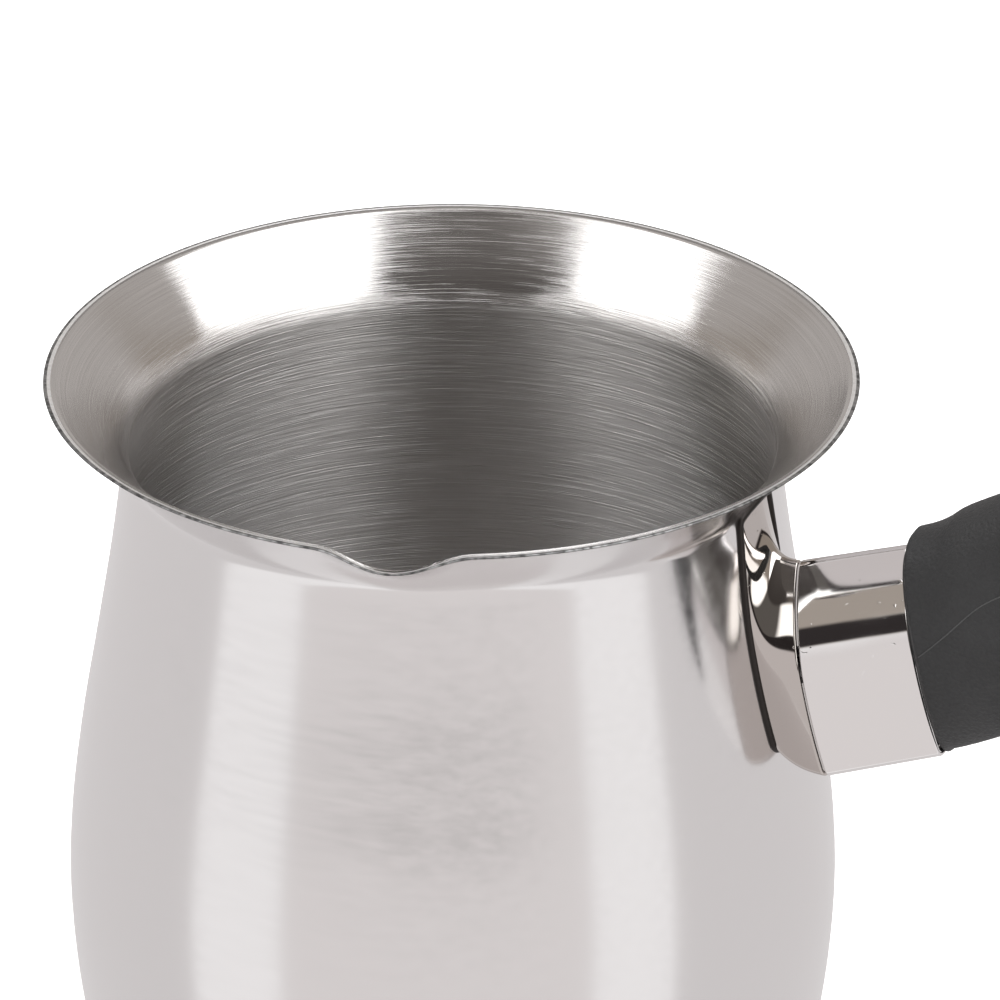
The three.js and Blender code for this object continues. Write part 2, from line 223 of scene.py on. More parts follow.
# ------------------------------------------------------------------ pot
def catmull_rom(stations, t):
    """The point at t from 0 to 1 on the uniform Catmull-Rom curve through the stations."""
    place = (len(stations) - 1) * t
    i = min(int(place), len(stations) - 2)
    w = place - i
    p = [np.array(stations[min(max(i + k, 0), len(stations) - 1)]) for k in (-1, 0, 1, 2)]
    v0, v1 = (p[2] - p[0]) / 2, (p[3] - p[1]) / 2
    return (
        (2 * p[1] - 2 * p[2] + v0 + v1) * w**3
        + (-3 * p[1] + 3 * p[2] - 2 * v0 - v1) * w**2
        + v0 * w
        + p[1]
    )


def bezier(p0, p1, p2, p3, t):
    """The point at t from 0 to 1 on the cubic curve with two ends and two handles."""
    p0, p1, p2, p3 = (np.array(p) for p in (p0, p1, p2, p3))
    u = 1 - t
    return u**3 * p0 + 3 * u * u * t * p1 + 3 * u * t * t * p2 + t**3 * p3


def outer_wall(corner_steps=10, wall_steps=64, flare_steps=28):
    """The pot's outside from the middle of its base to its rim: (radius, height)."""
    points = [(0.0, 0.0), (BASE_FLAT_RADIUS / 2, 0.0), (BASE_FLAT_RADIUS - 1, 0.0)]
    for i in range(corner_steps + 1):
        turn = BASE_CORNER_TURN * i / corner_steps
        points.append((
            BASE_FLAT_RADIUS + BASE_CORNER_RADIUS * math.sin(turn),
            BASE_CORNER_RADIUS * (1 - math.cos(turn)),
        ))
    stations = [points[-1], *WALL_STATIONS, NECK]
    points += [tuple(catmull_rom(stations, i / wall_steps)) for i in range(1, wall_steps + 1)]
    neck_handle = (NECK[0] + NECK_HANDLE[0], NECK[1] + NECK_HANDLE[1])
    rim_handle = (
        RIM_RADIUS - RIM_HANDLE_LENGTH * math.cos(RIM_SLOPE),
        RIM_HEIGHT - RIM_HANDLE_LENGTH * math.sin(RIM_SLOPE),
    )
    rim = (RIM_RADIUS, RIM_HEIGHT)
    points += [
        tuple(bezier(NECK, neck_handle, rim_handle, rim, i / flare_steps))
        for i in range(1, flare_steps + 1)
    ]
    return points


def offset_wall(points, distance):
    """The wall line moved into the pot."""
    moved = []
    for i, (r, z) in enumerate(points):
        before = np.array(points[max(i - 1, 0)])
        after = np.array(points[min(i + 1, len(points) - 1)])
        along = (after - before) / np.linalg.norm(after - before)
        moved.append((r - along[1] * distance, z + along[0] * distance) if r else (0.0, z + distance))
    return moved


def draw_lip(point):
    """Draws the flare outward and down around the lip's direction."""
    radius = math.hypot(point[0], point[1])
    height = (point[2] - NECK[1]) / (RIM_HEIGHT - NECK[1])
    if height <= 0 or radius == 0:
        return point
    away = abs(math.atan2(point[1], point[0]) - LIP_ANGLE) / LIP_HALF_ANGLE
    if away >= 1:
        return point
    amount = math.cos(away * math.pi / 2) ** 2 * height**2
    scale = (radius + LIP_REACH * amount) / radius
    return (point[0] * scale, point[1] * scale, point[2] - LIP_DROP * amount)


POT_SEGMENTS = 288
outside_line = outer_wall()


def wall_radius(z):
    """Outer radius of the pot at a height."""
    line = outside_line[3:]
    return float(np.interp(z, [p[1] for p in line], [p[0] for p in line]))


def pot_mesh(materials):
    """The sheet as one closed lathe. Slots: 0 outside, 1 inside, 2 bright rim, 3 dark rim with painted
    shade.
    """
    inside_line = offset_wall(outside_line, SHEET)
    rim = [
        (RIM_RADIUS, RIM_HEIGHT - RIM_EDGE_EASE),
        (RIM_RADIUS - RIM_EDGE_EASE, RIM_HEIGHT),
        (RIM_RADIUS - RIM_EDGE_WIDTH / 2, RIM_HEIGHT),
        (RIM_RADIUS - RIM_EDGE_WIDTH + RIM_EDGE_EASE, RIM_HEIGHT),
        (RIM_RADIUS - RIM_EDGE_WIDTH, RIM_HEIGHT - RIM_EDGE_EASE),
    ]
    outside = outside_line[1:-1]
    inside = inside_line[1:-1][::-1]
    profile = outside + rim + inside
    rings = []
    for r, z in profile:
        ring = []
        for j in range(POT_SEGMENTS):
            turn = 2 * math.pi * j / POT_SEGMENTS
            ring.append(draw_lip((r * math.cos(turn), r * math.sin(turn), z)))
        rings.append(ring)
    points, faces = loft(rings)
    rim_slots = [3, 3, 2, 2]
    strips = [0] * len(outside) + rim_slots + [1] * len(inside)
    slots = [slot for slot in strips for _ in range(POT_SEGMENTS)]
    for ring_start, z, slot, flip in (
        (0, 0.0, 0, True),
        ((len(rings) - 1) * POT_SEGMENTS, SHEET, 1, False),
    ):
        centre = len(points)
        points.append((0.0, 0.0, z))
        for j in range(POT_SEGMENTS):
            a, b = ring_start + j, ring_start + (j + 1) % POT_SEGMENTS
            faces.append((centre, b, a) if flip else (centre, a, b))
            slots.append(slot)
    return make_piece("pot_shell", points, faces, slots, materials)


# ------------------------------------------------------------------ handle root
def root_outline(shrink, fine=4):
    """The handle root's section, anticlockwise from the bottom right corner: (across, up)."""
    top = ROOT_HEIGHT / 2 - ROOT_TOP_ROUND
    bottom = ROOT_BOTTOM_ROUND - ROOT_HEIGHT / 2
    top_turn = math.asin((top - ROOT_WIDEST_UP) / (ROOT_UPPER_FLANK - ROOT_TOP_ROUND))
    bottom_turn = math.asin((ROOT_WIDEST_UP - bottom) / (ROOT_LOWER_FLANK - ROOT_BOTTOM_ROUND))
    upper_x = -(ROOT_UPPER_FLANK - ROOT_TOP_ROUND) * math.cos(top_turn)
    lower_x = upper_x + ROOT_UPPER_FLANK - ROOT_LOWER_FLANK
    corner_x = lower_x + (ROOT_LOWER_FLANK - ROOT_BOTTOM_ROUND) * math.cos(bottom_turn)
    arcs = [
        (0, -ROOT_HEIGHT / 2 + shrink, 0, 0, 0, 1),
        (corner_x, bottom, ROOT_BOTTOM_ROUND - shrink, -math.pi / 2, -bottom_turn, 2 * fine),
        (lower_x, ROOT_WIDEST_UP, ROOT_LOWER_FLANK - shrink, -bottom_turn, 0, 3 * fine),
        (upper_x, ROOT_WIDEST_UP, ROOT_UPPER_FLANK - shrink, 0, top_turn, 5 * fine),
        (0, top, ROOT_TOP_ROUND - shrink, top_turn, math.pi / 2, 2 * fine),
    ]
    right = []
    for x, y, radius, start, end, steps in arcs:
        for i in range(steps):
            turn = start + (end - start) * i / steps
            right.append((x + radius * math.cos(turn), y + radius * math.sin(turn)))
    left = [(-x, y) for x, y in reversed(right[1:])]
    return [*right, (0.0, ROOT_HEIGHT / 2 - shrink), *left]


# A rounded sheet edge as (inset from the surface, distance from the end), then a guard ring
# that keeps the rounding out of the flat beyond it.
EDGE_ROUND = [(0.16, 0.0), (0.05, 0.05), (0.0, 0.16), (0.0, 0.21)]


def seam_point(up, lean=SEAM_LEAN):
    """The seam between bracket and ferrule at a height along it: (x, z)."""
    return SEAM_X - up * math.sin(lean), SEAM_Z + up * math.cos(lean)


def bracket_point(across, up, t):
    """A point of the bracket's surface, from the seam at t 0 to inside the pot at t 1."""
    share = up / ROOT_HEIGHT + 0.5
    seam_x, seam_z = seam_point(up)
    end_x = BRACKET_END_X + BRACKET_END_LEAN * up
    lift = BRACKET_TOP_LIFT * t**BRACKET_LIFT_POWER * share
    rise = BRACKET_BOTTOM_RISE * t**BRACKET_RISE_POWER * (1 - share)
    return (
        seam_x + (end_x - seam_x) * t,
        across * (1 + BRACKET_BOTTOM_SPREAD * (1 - share) * t**2),
        seam_z + lift + rise,
    )


def bracket_reach(across, up, depth):
    """How far along its sweep a line of the bracket meets the pot, depth inside its surface."""
    low, high = 0.0, 1.0
    for _ in range(30):
        middle = (low + high) / 2
        x, y, z = bracket_point(across, up, middle)
        if math.hypot(x, y) > wall_radius(z) - depth:
            low = middle
        else:
            high = middle
    return low


def bracket_mesh(material, steps=26):
    outer, inner = root_outline(0), root_outline(BRACKET_SHEET)
    length = SEAM_X - BRACKET_END_X
    mouth = []
    for inset, back in EDGE_ROUND:
        mouth.append([bracket_point(a, u, back / length) for a, u in root_outline(inset)])
    rings = list(mouth)
    start = EDGE_ROUND[-1][1] / length
    reach = [bracket_reach(a, u, WELD_DEPTH) for a, u in outer]
    for i in range(1, steps + 1):
        rings.append([
            bracket_point(a, u, start + (end - start) * i / steps)
            for (a, u), end in zip(outer, reach)
        ])
    for i in range(steps, -1, -1):
        rings.append([
            bracket_point(a, u, bracket_reach(a, u, WELD_DEPTH) * i / steps) for a, u in inner
        ])
    points, faces = loft(rings[::-1], close_along=True)
    return make_piece("bracket_shell", points, faces, None, [material])


def contact_shade_bead_mesh(material):
    """A dark bead round the bracket's foot: painted shade along the contact line between bracket and
    pot.
    """
    path = [bracket_point(a, u, bracket_reach(a, u, 0)) for a, u in root_outline(0, 8)]
    return make_piece("bracket_contact_shade_bead", *bead(path, CONTACT_SHADE_RADIUS, True), None, [material])


def on_ferrule(across, up, along):
    """A point of the handle's root section, a distance along its axis from the seam."""
    lean = SEAM_LEAN + (FERRULE_END_LEAN - SEAM_LEAN) * along / FERRULE_LENGTH
    x, z = seam_point(up, lean)
    return x + along * math.cos(HANDLE_RISE), across, z + along * math.sin(HANDLE_RISE)


def ferrule_mesh(material, steps=12):
    def ring(shrink, along):
        scale = 1 + (FERRULE_TAPER - 1) * along / FERRULE_LENGTH
        return [on_ferrule(a * scale, u * scale, along) for a, u in root_outline(shrink)]

    start, end = GAP, FERRULE_LENGTH
    rings = [ring(inset, start + back) for inset, back in EDGE_ROUND]
    rings += [ring(0, start + (end - start) * i / steps) for i in range(1, steps)]
    rings += [ring(inset, end - back) for inset, back in reversed(EDGE_ROUND)]
    rings += [ring(FERRULE_SHEET, end), ring(FERRULE_SHEET, start)]
    points, faces = loft(rings, close_along=True)
    return make_piece("ferrule_sleeve", points, faces, None, [material])


# ------------------------------------------------------------------ grip
def grip_slope(s):
    """The slope of the grip's centre line at a length along it."""
    up = GRIP_BEND_UP * smooth(s / GRIP_BEND_LENGTH)
    down = GRIP_LEVEL_DROP * smooth((s - GRIP_LEVEL_START) / (GRIP_LENGTH - GRIP_LEVEL_START))
    return HANDLE_RISE + up - down


def grip_centre(s, pieces=60):
    """The grip's centre line at a length along it, added up from its slope: (x, z)."""
    start = on_ferrule(0, 0, FERRULE_LENGTH + GAP)
    x, z = start[0], start[2]
    for i in range(pieces):
        slope = grip_slope((i + 0.5) / pieces * s)
        x += math.cos(slope) * s / pieces
        z += math.sin(slope) * s / pieces
    return x, z


def grip_size(s):
    """The grip's half height and half width at a length along it."""
    half_height, half_width = GRIP_ROOT_HALF_HEIGHT, GRIP_ROOT_HALF_WIDTH
    for amount, start, length in HEIGHT_CHANGES:
        half_height += amount * smooth((s - start) / length)
    for amount, start, length in WIDTH_CHANGES:
        half_width += amount * smooth((s - start) / length)
    round_share = min(max(GRIP_LENGTH - s, 0) / GRIP_END_ROUND, 1)
    end = max(math.sqrt(1 - (1 - round_share) ** 2), GRIP_END_FLAT)
    return half_height * end, half_width * (GRIP_END_WIDTH_SHARE + (1 - GRIP_END_WIDTH_SHARE) * end)


def grip_point(across, up, s):
    """A point of the grip's surface, across and up from -1 to 1 in its section."""
    half_height, half_width = grip_size(s)
    x, z = grip_centre(s)
    settle = smooth(s / GRIP_BEND_LENGTH)
    lean = FERRULE_END_LEAN + (grip_slope(s) - FERRULE_END_LEAN) * settle
    height = up * half_height + GRIP_STEP_UP * smooth(s / GRIP_SHOULDER) + GRIP_LIFT * settle
    return x - height * math.sin(lean), across * half_width, z + height * math.cos(lean)


def cutter(name, radius, start, end, segments=64):
    """A closed rod between two millimetre points."""
    start, end = Vector(start), Vector(end)
    turn = (end - start).to_track_quat("Z", "Y")
    rings = []
    for base in (start, end):
        ring = []
        for j in range(segments):
            a = 2 * math.pi * j / segments
            ring.append(base + turn @ Vector((radius * math.cos(a), radius * math.sin(a), 0)))
        rings.append([tuple(p) for p in ring])
    points, faces = loft(rings, cap_ends=True)
    return make_piece(name, points, faces)


def subtract(piece, tool):
    """Cuts the tool's shape out of a piece, and removes the tool."""
    modifier = piece.modifiers.new("cut", "BOOLEAN")
    modifier.operation = "DIFFERENCE"
    modifier.solver = "EXACT"
    modifier.object = tool
    bpy.context.view_layer.objects.active = piece
    bpy.context.view_layer.update()
    with bpy.context.temp_override(object=piece, active_object=piece, selected_objects=[piece]):
        bpy.ops.object.modifier_apply(modifier=modifier.name)
    bpy.data.objects.remove(tool)


def on_axis(distance):
    """A point on the screw's axis, a distance from the seam."""
    return (
        SEAM_X + distance * math.cos(HANDLE_RISE),
        0.0,
        SEAM_Z + distance * math.sin(HANDLE_RISE),
    )


def grip_mesh(material, steps=150, count=72):
    """The moulded grip, with the screw's bore, its counterbore and the hanging hole."""
    power = 2 / GRIP_CORNER_POWER
    section = []
    for i in range(count):
        turn = 2 * math.pi * i / count
        c, s = math.cos(turn), math.sin(turn)
        section.append((math.copysign(abs(c) ** power, c), math.copysign(abs(s) ** power, s)))
    rings = []
    for i in range(steps + 1):
        s = GRIP_LENGTH * (1 - math.cos(math.pi * i / steps)) / 2
        rings.append([grip_point(a, u, s) for a, u in section])
    points, faces = loft(rings, cap_ends=True)
    grip = make_piece("grip_body", points, faces, None, [material])
    seat = FERRULE_LENGTH + SCREW_SEAT
    past = seat + COUNTERBORE_CUT_LENGTH
    subtract(grip, cutter("bore", CLEARANCE_RADIUS, on_axis(0), on_axis(seat + 1)))
    subtract(grip, cutter("counterbore", COUNTERBORE_RADIUS, on_axis(seat), on_axis(past)))
    hole_x, hole_z = grip_centre(GRIP_LENGTH - HANG_HOLE_FROM_END)
    near, far = ((hole_x, y, hole_z) for y in (-HANG_HOLE_CUT_HALF_LENGTH, HANG_HOLE_CUT_HALF_LENGTH))
    subtract(grip, cutter("hang_hole", HANG_HOLE_RADIUS, near, far))
    return grip


def parting_line(name, side, material):
    """The mould's parting line on one side of the grip, a fine raised bead."""
    power = 2 / GRIP_CORNER_POWER
    path = []
    length = GRIP_LENGTH - PARTING_STOP_BEFORE_END - PARTING_START
    for i in range(PARTING_STEPS):
        s = PARTING_START + length * i / (PARTING_STEPS - 1)
        up = PARTING_RISE * (1 - (1 - min(s / PARTING_RISE_LENGTH, 1.0)) ** 2)
        turn = math.asin(up ** (1 / power))
        path.append(grip_point(side * math.cos(turn) ** power, up, s))
    return make_piece(name, *bead(path, PARTING_RADIUS, False), None, [material])


# ------------------------------------------------------------------ node helpers
def grey(level):
    return (level, level, level, 1)


class Graph:
    """Builds a node tree with short calls."""

    def __init__(self, tree):
        self.tree = tree
        tree.nodes.clear()

    def node(self, kind, inputs=None, **settings):
        made = self.tree.nodes.new(kind)
        for key, value in settings.items():
            setattr(made, key, value)
        for key, value in (inputs or {}).items():
            self.feed(made.inputs[key], value)
        return made

    def feed(self, socket, value):
        if isinstance(value, bpy.types.NodeSocket):
            self.tree.links.new(value, socket)
        else:
            socket.default_value = value

    def math(self, operation, a, b=0.0):
        made = self.node("ShaderNodeMath", operation=operation)
        self.feed(made.inputs[0], a)
        self.feed(made.inputs[1], b)
        return made.outputs[0]

    def step(self, value, edge, soft):
        """0 below the edge, 1 above it, with a soft change."""
        made = self.node("ShaderNodeMapRange", interpolation_type="SMOOTHSTEP")
        self.feed(made.inputs["Value"], value)
        self.feed(made.inputs["From Min"], edge - soft)
        self.feed(made.inputs["From Max"], edge + soft)
        return made.outputs["Result"]

    def band(self, value, low, high, soft):
        """1 between two edges, 0 outside them."""
        above = self.step(value, low, soft)
        below = self.math("SUBTRACT", 1.0, self.step(value, high, soft))
        return self.math("MULTIPLY", above, below)

    def mix(self, share, a, b):
        made = self.node("ShaderNodeMix", data_type="RGBA")
        self.feed(made.inputs[0], share)
        self.feed(made.inputs[6], a)
        self.feed(made.inputs[7], b)
        return made.outputs[2]

    def noise(self, vector, scale, detail=2.0, roughness=0.5, distortion=0.0):
        return self.node(
            "ShaderNodeTexNoise",
            {"Vector": vector, "Scale": scale, "Detail": detail, "Roughness": roughness,
             "Distortion": distortion},
        ).outputs["Fac"]

    def ramp(self, value, *stops):
        made = self.node("ShaderNodeValToRGB", {"Fac": value})
        elements = made.color_ramp.elements
        while len(elements) < len(stops):
            elements.new(0.5)
        for element, (place, level) in zip(elements, stops):
            element.position = place
            element.color = grey(level)
        return made.outputs["Color"]


def new_material(name):
    material = bpy.data.materials.new(name)
    material.use_nodes = True
    graph = Graph(material.node_tree)
    shader = graph.node("ShaderNodeBsdfPrincipled")
    output = graph.node("ShaderNodeOutputMaterial")
    graph.tree.links.new(shader.outputs[0], output.inputs[0])
    return material, graph, shader


def bump(graph, height, strength, distance, normal=None):
    made = graph.node("ShaderNodeBump", {"Height": height, "Strength": strength, "Distance": distance})
    if normal is not None:
        graph.feed(made.inputs["Normal"], normal)
    return made.outputs["Normal"]


SMALLEST_RADIUS = 0.0001


def turned_coordinates(graph, around, along):
    """Object coordinates unrolled round the pot's axis: slow round it, fast along its wall."""
    position = graph.node("ShaderNodeTexCoord").outputs["Object"]
    parts = graph.node("ShaderNodeSeparateXYZ", {"Vector": position})
    x, y, z = parts.outputs[0], parts.outputs[1], parts.outputs[2]
    squares = [graph.math("MULTIPLY", part, part) for part in (x, y)]
    radius = graph.math("SQRT", graph.math("ADD", *squares))
    radius = graph.math("MAXIMUM", radius, SMALLEST_RADIUS)
    unrolled = graph.node("ShaderNodeCombineXYZ")
    graph.feed(unrolled.inputs[0], graph.math("MULTIPLY", graph.math("DIVIDE", x, radius), around))
    graph.feed(unrolled.inputs[1], graph.math("MULTIPLY", graph.math("DIVIDE", y, radius), around))
    graph.feed(unrolled.inputs[2], graph.math("MULTIPLY", graph.math("ADD", z, radius), along))
    return unrolled.outputs[0]


# ------------------------------------------------------------------ materials
BODY_STEEL = (0.80, 0.785, 0.785, 1)
INSIDE_TINT = (0.55, 0.44, 0.37, 1)
# Darker and browner than the ferrule's steel: a painted reflection of the pot's darker bands on the
# bracket's flank.
BRACKET_PAINTED_REFLECTION = (0.56, 0.52, 0.495, 1)
FERRULE_STEEL = (0.80, 0.78, 0.775, 1)
# Near black: painted shade along the bracket's contact line with the pot.
CONTACT_SHADE_DARK = (0.045, 0.04, 0.038, 1)
ZINC_STEEL = (0.66, 0.68, 0.70, 1)
PLAIN_STEEL = (0.58, 0.58, 0.59, 1)
RESIN_TINT = (0.02, 0.02, 0.03, 1)
FLARE_START = (NECK[1] + 1) * MM
FLARE_SOFT = 0.0025
WALL_BRUSHING, FLARE_BRUSHING = 0.75, 0.09
WALL_ROUGHNESS = 0.36


def outside_steel():
    """Polished sheet with slanting hairline scratches and a faint waviness."""
    material, graph, shader = new_material("polished_steel_outside")
    position = graph.node("ShaderNodeTexCoord").outputs["Object"]
    slanted = graph.node(
        "ShaderNodeMapping",
        {"Vector": position, "Rotation": (0.4, 0.9, 0.3), "Scale": (40, 900, 900)},
    ).outputs[0]
    scratches = graph.noise(slanted, 1.0, 3.0, 0.6)
    waves = graph.noise(position, 60.0, 2.0)
    shader.inputs["Base Color"].default_value = BODY_STEEL
    shader.inputs["Metallic"].default_value = 1.0
    graph.feed(shader.inputs["Roughness"], graph.ramp(scratches, (0.3, 0.13), (0.75, 0.2)))
    normal = bump(graph, waves, 0.035, 0.0004)
    graph.feed(shader.inputs["Normal"], bump(graph, scratches, 0.05, 0.00004, normal))
    return material


def inside_steel():
    """Circumferential brushing: coarse on the wall, fine on the flare above the neck."""
    material, graph, shader = new_material("brushed_steel_inside")
    lines = graph.noise(turned_coordinates(graph, 2.0, 6500.0), 1.0, 2.0, 0.65)
    arcs = graph.noise(turned_coordinates(graph, 3.4, 8000.0), 1.0, 0.0)
    hairs = graph.ramp(arcs, (0.6, 0.0), (0.72, 1.0))
    position = graph.node("ShaderNodeTexCoord").outputs["Object"]
    height = graph.node("ShaderNodeSeparateXYZ", {"Vector": position}).outputs[2]
    on_flare = graph.step(height, FLARE_START, FLARE_SOFT)
    depth = graph.math("ADD", lines, graph.math("MULTIPLY", hairs, 0.3))
    share = graph.mix(on_flare, grey(WALL_BRUSHING), grey(FLARE_BRUSHING))
    depth = graph.math("MULTIPLY", depth, share)
    tangent = graph.node("ShaderNodeTangent", direction_type="RADIAL", axis="Z").outputs[0]
    shader.inputs["Metallic"].default_value = 1.0
    shader.inputs["Anisotropic"].default_value = 1.0
    shader.inputs["Anisotropic Rotation"].default_value = 0.25
    graph.feed(shader.inputs["Tangent"], tangent)
    shade = graph.ramp(lines, (0.3, 0.54), (0.7, 0.66))
    graph.feed(shader.inputs["Base Color"], graph.mix(0.15, shade, INSIDE_TINT))
    polish = graph.ramp(arcs, (0.3, 0.15), (0.7, 0.18))
    graph.feed(shader.inputs["Roughness"], graph.mix(on_flare, grey(WALL_ROUGHNESS), polish))
    graph.feed(shader.inputs["Normal"], bump(graph, depth, 1.0, 0.0002))
    return material


def rim_steel(name, dark, light):
    """The trimmed edge: its inner half is burnished; its outer half is given a dark colour, a painted
    shade.
    """
    material, graph, shader = new_material(name)
    marks = graph.noise(turned_coordinates(graph, 60.0, 1500.0), 1.0, 2.0)
    shader.inputs["Metallic"].default_value = 1.0
    graph.feed(shader.inputs["Base Color"], graph.ramp(marks, (0.35, dark), (0.6, light)))
    graph.feed(shader.inputs["Roughness"], graph.ramp(marks, (0.3, 0.42), (0.7, 0.28)))
    graph.feed(shader.inputs["Normal"], bump(graph, marks, 0.2, 0.00005))
    return material


def mirror_steel(name, color):
    """Highly polished steel with a slight waviness and a few nicks."""
    material, graph, shader = new_material(name)
    position = graph.node("ShaderNodeTexCoord").outputs["Object"]
    waves = graph.noise(position, 130.0, 1.0)
    nicks = graph.ramp(graph.noise(position, 420.0, 2.0, 0.5, 2.5), (0.70, 0.0), (0.76, 1.0))
    shader.inputs["Base Color"].default_value = color
    shader.inputs["Metallic"].default_value = 1.0
    graph.feed(shader.inputs["Roughness"], graph.ramp(waves, (0.3, 0.035), (0.8, 0.07)))
    normal = bump(graph, waves, 0.06, 0.0003)
    graph.feed(shader.inputs["Normal"], bump(graph, nicks, 0.25, 0.00003, normal))
    return material


def black_resin(name, dark, light):
    """Moulded phenolic resin with a fine pebbled grain."""
    material, graph, shader = new_material(name)
    position = graph.node("ShaderNodeTexCoord").outputs["Object"]
    pebbles = graph.noise(position, 2600.0, 2.0, 0.55)
    cloud = graph.noise(position, 90.0, 3.0)
    shade = graph.ramp(cloud, (0.3, dark), (0.75, light))
    graph.feed(shader.inputs["Base Color"], graph.mix(0.1, shade, RESIN_TINT))
    graph.feed(shader.inputs["Roughness"], graph.ramp(pebbles, (0.3, 0.5), (0.7, 0.66)))
    graph.feed(shader.inputs["Normal"], bump(graph, pebbles, 0.7, 0.00018))
    return material


def machined_steel(name, color, roughness):
    """Dull steel with a fine grain."""
    material, graph, shader = new_material(name)
    position = graph.node("ShaderNodeTexCoord").outputs["Object"]
    grain = graph.noise(position, 1800.0, 3.0, 0.6)
    shader.inputs["Base Color"].default_value = color
    shader.inputs["Metallic"].default_value = 1.0
    graph.feed(shader.inputs["Roughness"], graph.ramp(grain, (0.3, roughness), (0.7, roughness + 0.15)))
    graph.feed(shader.inputs["Normal"], bump(graph, grain, 0.1, 0.00004))
    return material


# ------------------------------------------------------------------ studio
# Directions are an azimuth and an elevation in degrees. Azimuth 0 is towards the camera, and
# positive azimuths are on the camera's right.
ROOM = (0.60, 0.57, 0.55, 1)
ROOM_AHEAD = (0.18, 0.168, 0.16, 1)
ROOM_LOW_AHEAD = (0.07, 0.062, 0.058, 1)
ROOM_LOW_SIDES = (0.42, 0.375, 0.33, 1)
CEILING = (0.26, 0.245, 0.235, 1)
BOX_LIGHT = (3.2, 3.2, 3.22, 1)
BOX_BOTTOM, BOX_TOP = 28, 84
STRIP_LIGHT = (2.2, 2.2, 2.15, 1)
STRIP_GAP = (0.16, 0.15, 0.14, 1)
STRIP_BOTTOM, STRIP_TOP = -3, 23
TABLE = (0.74, 0.715, 0.715, 1)
TABLE_CENTRE = (0.82, 0.785, 0.78, 1)
TABLE_GLARE = (1.0, 0.985, 0.985, 1)
TABLE_EDGE = -6
TABLE_EDGE_DARK = (0.035, 0.03, 0.03, 1)
WHITE = (1, 1, 1, 1)

# Planes through the origin that bound the lights: right, away and up parts of each normal.
RIGHT_BOX_SIDES = [(0.888, 0.443, -0.123), (-0.083, -0.902, 0.425)]
LEFT_BOX_SIDES = [(-0.799, 0.541, -0.265), (0.11, -0.937, 0.331)]
BOX_SOFT = 0.02
STRIP_END = (-0.116, -0.508, -0.778)
STRIP_END_SOFT = 0.03


def plane_side(graph, parts, normal, soft):
    """1 on the side of a plane through the origin that its normal points to, 0 on the other."""
    total = graph.math("MULTIPLY", parts[0], normal[0])
    for part, amount in zip(parts[1:], normal[1:]):
        total = graph.math("ADD", total, graph.math("MULTIPLY", part, amount))
    return graph.step(total, 0.0, soft)


def room_colour(graph, azimuth, elevation):
    """Brown-grey, darker straight ahead and darkest low down there."""
    ahead = graph.band(azimuth, -62, 62, 30)
    low_ahead = graph.math("SUBTRACT", 1.0, graph.step(elevation, 48, 30))
    room = graph.mix(ahead, ROOM, ROOM_AHEAD)
    room = graph.mix(graph.math("MULTIPLY", ahead, low_ahead), room, ROOM_LOW_AHEAD)
    room = graph.mix(graph.step(elevation, 80, 6), room, CEILING)
    below_boxes = graph.math("SUBTRACT", 1.0, graph.step(elevation, BOX_BOTTOM, 3))
    sides = [graph.band(azimuth, low, high, 6) for low, high in ((-130, -46), (30, 130))]
    low_sides = graph.math("MULTIPLY", below_boxes, graph.math("MAXIMUM", *sides))
    return graph.mix(low_sides, room, ROOM_LOW_SIDES)


def soft_boxes(graph, direction, elevation):
    """Two tall soft boxes, one on each side of the camera."""
    boxes = [
        graph.math("MULTIPLY", *(plane_side(graph, direction, side, BOX_SOFT) for side in sides))
        for sides in (RIGHT_BOX_SIDES, LEFT_BOX_SIDES)
    ]
    both = graph.math("MAXIMUM", *boxes)
    return graph.math("MULTIPLY", both, graph.band(elevation, BOX_BOTTOM, BOX_TOP, 1.5))


def over_strip_edge(graph, azimuth, elevation):
    """How far a direction is above the low strip's lower edge, which falls to the right."""
    drop = graph.math("MAXIMUM", graph.math("ADD", azimuth, 43.0), 0.0)
    falling = graph.math("SUBTRACT", 4.0, graph.math("MULTIPLY", drop, 0.24))
    edge = graph.math("MAXIMUM", falling, STRIP_BOTTOM)
    return graph.math("SUBTRACT", elevation, edge)


def low_strip(graph, direction, azimuth, elevation, over_edge):
    """A low lit strip in front."""
    levels = graph.band(elevation, STRIP_BOTTOM, STRIP_TOP, 1.5)
    strip = graph.math("MULTIPLY", graph.step(over_edge, 0.0, 0.8), levels)
    strip = graph.math("MULTIPLY", strip, graph.band(azimuth, -53, 94, 2.0))
    return graph.math("MULTIPLY", strip, plane_side(graph, direction, STRIP_END, STRIP_END_SOFT))


def table_colour(graph, azimuth):
    """Pale, lighter in front, with a glare under each soft box."""
    centre = graph.band(azimuth, -50, 41, 3.0)
    glares = [graph.band(azimuth, low, high, 2.0) for low, high in ((41, 68), (-81, -50))]
    table = graph.mix(centre, TABLE, TABLE_CENTRE)
    return graph.mix(graph.math("MAXIMUM", *glares), table, TABLE_GLARE)


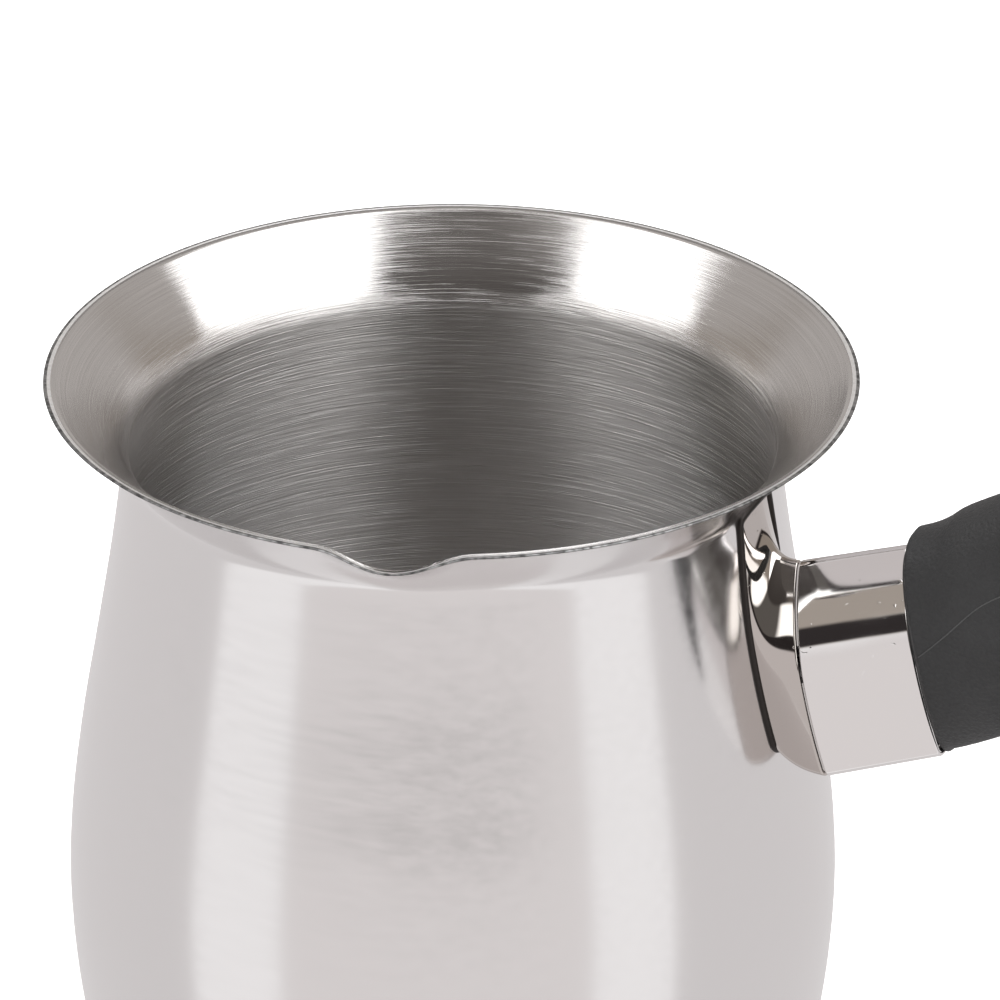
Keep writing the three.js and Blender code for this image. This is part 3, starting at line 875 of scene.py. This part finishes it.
def build_studio():
    """A pale table, two large soft boxes above it, and the dark room between them."""
    bpy.context.scene.view_settings.view_transform = "Standard"
    world = bpy.data.worlds.new("studio")
    bpy.context.scene.world = world
    world.use_nodes = True
    graph = Graph(world.node_tree)
    turned = graph.node("ShaderNodeVectorRotate", rotation_type="Z_AXIS")
    graph.feed(turned.inputs["Vector"], graph.node("ShaderNodeTexCoord").outputs["Generated"])
    graph.feed(turned.inputs["Angle"], -CAMERA_TURN)
    parts = graph.node("ShaderNodeSeparateXYZ", {"Vector": turned.outputs[0]})
    direction = right, away, up = parts.outputs[0], parts.outputs[1], parts.outputs[2]
    toward = graph.math("MULTIPLY", away, -1.0)
    azimuth = graph.math("DEGREES", graph.math("ARCTAN2", right, toward))
    elevation = graph.math("DEGREES", graph.math("ARCSINE", up))

    boxes = soft_boxes(graph, direction, elevation)
    room = graph.mix(boxes, room_colour(graph, azimuth, elevation), BOX_LIGHT)
    table = table_colour(graph, azimuth)
    over_edge = over_strip_edge(graph, azimuth, elevation)
    under_strip = graph.band(over_edge, -10, 0, 1.0)
    dark = graph.math("MULTIPLY", under_strip, graph.step(elevation, TABLE_EDGE, 0.8))
    strip_colour = graph.mix(graph.band(azimuth, -34, 26, 4), STRIP_LIGHT, STRIP_GAP)
    strip = low_strip(graph, direction, azimuth, elevation, over_edge)

    colour = graph.mix(graph.step(elevation, TABLE_EDGE, 1.0), table, room)
    colour = graph.mix(dark, colour, TABLE_EDGE_DARK)
    colour = graph.mix(strip, colour, strip_colour)
    camera_ray = graph.node("ShaderNodeLightPath").outputs["Is Camera Ray"]
    colour = graph.mix(camera_ray, colour, WHITE)
    background = graph.node("ShaderNodeBackground", {"Color": colour, "Strength": 1.0})
    output = graph.node("ShaderNodeOutputWorld")
    graph.tree.links.new(background.outputs[0], output.inputs[0])


FLOOR_HALF_SIZE = 3000.0
FLOOR_DROP = 0.0002
FLOOR_COLOUR = (0.93, 0.93, 0.93, 1)
FLOOR_GLOW = 0.45


def build_floor():
    size = FLOOR_HALF_SIZE
    points = [(-size, -size, 0), (size, -size, 0), (size, size, 0), (-size, size, 0)]
    floor = make_piece("floor", points, [(0, 1, 2, 3)])
    floor.location.z = -FLOOR_DROP
    material, graph, shader = new_material("pale_floor")
    shader.inputs["Base Color"].default_value = FLOOR_COLOUR
    shader.inputs["Roughness"].default_value = 0.9
    shader.inputs["Specular IOR Level"].default_value = 0.0
    shader.inputs["Emission Color"].default_value = WHITE
    shader.inputs["Emission Strength"].default_value = FLOOR_GLOW
    floor.data.materials.append(material)
    floor.visible_glossy = False


build_studio()
build_floor()

# ------------------------------------------------------------------ assembly
pot_finishes = [
    outside_steel(),
    inside_steel(),
    rim_steel("burnished_rim_steel", 0.8, 0.95),
    # The rim's outer half is coloured near black as painted shade.
    rim_steel("rim_painted_shade", 0.08, 0.3),
]
# The bracket's mirror steel gets a darker, browner colour, a painted reflection of the pot's darker
# bands.
bracket_painted_reflection = mirror_steel("bracket_painted_reflection", BRACKET_PAINTED_REFLECTION)
ferrule_steel = mirror_steel("ferrule_steel", FERRULE_STEEL)
grip_resin = black_resin("black_resin", 0.017, 0.027)
# A near-black steel bead along the bracket's foot stands in as painted shade at the contact line.
painted_contact_shade = machined_steel("painted_contact_shade", CONTACT_SHADE_DARK, 0.35)
worn_resin = black_resin("worn_resin", 0.055, 0.08)
pieces = [
    (pot_mesh(pot_finishes), "pot_body", "polished_steel"),
    (bracket_mesh(bracket_painted_reflection), "handle_bracket", "mirror_steel"),
    (ferrule_mesh(ferrule_steel), "ferrule", "mirror_steel"),
    (grip_mesh(grip_resin), "grip", "black_resin"),
    (contact_shade_bead_mesh(painted_contact_shade), "handle_bracket", "mirror_steel"),
    (parting_line("grip_parting_near", -1, worn_resin), "grip", "black_resin"),
    (parting_line("grip_parting_far", 1, worn_resin), "grip", "black_resin"),
]
for piece, node, slot in pieces:
    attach(piece, "root")
    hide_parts(node)

zinc = machined_steel("zinc_steel", ZINC_STEEL, 0.25)
plain = machined_steel("plain_steel", PLAIN_STEEL, 0.35)
for node, material in (
    ("anchor_bar", plain), ("flat_washer", zinc), ("spring_washer", zinc), ("tie_screw", zinc),
):
    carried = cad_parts[node]
    carried.data.materials.clear()
    carried.data.materials.append(material)
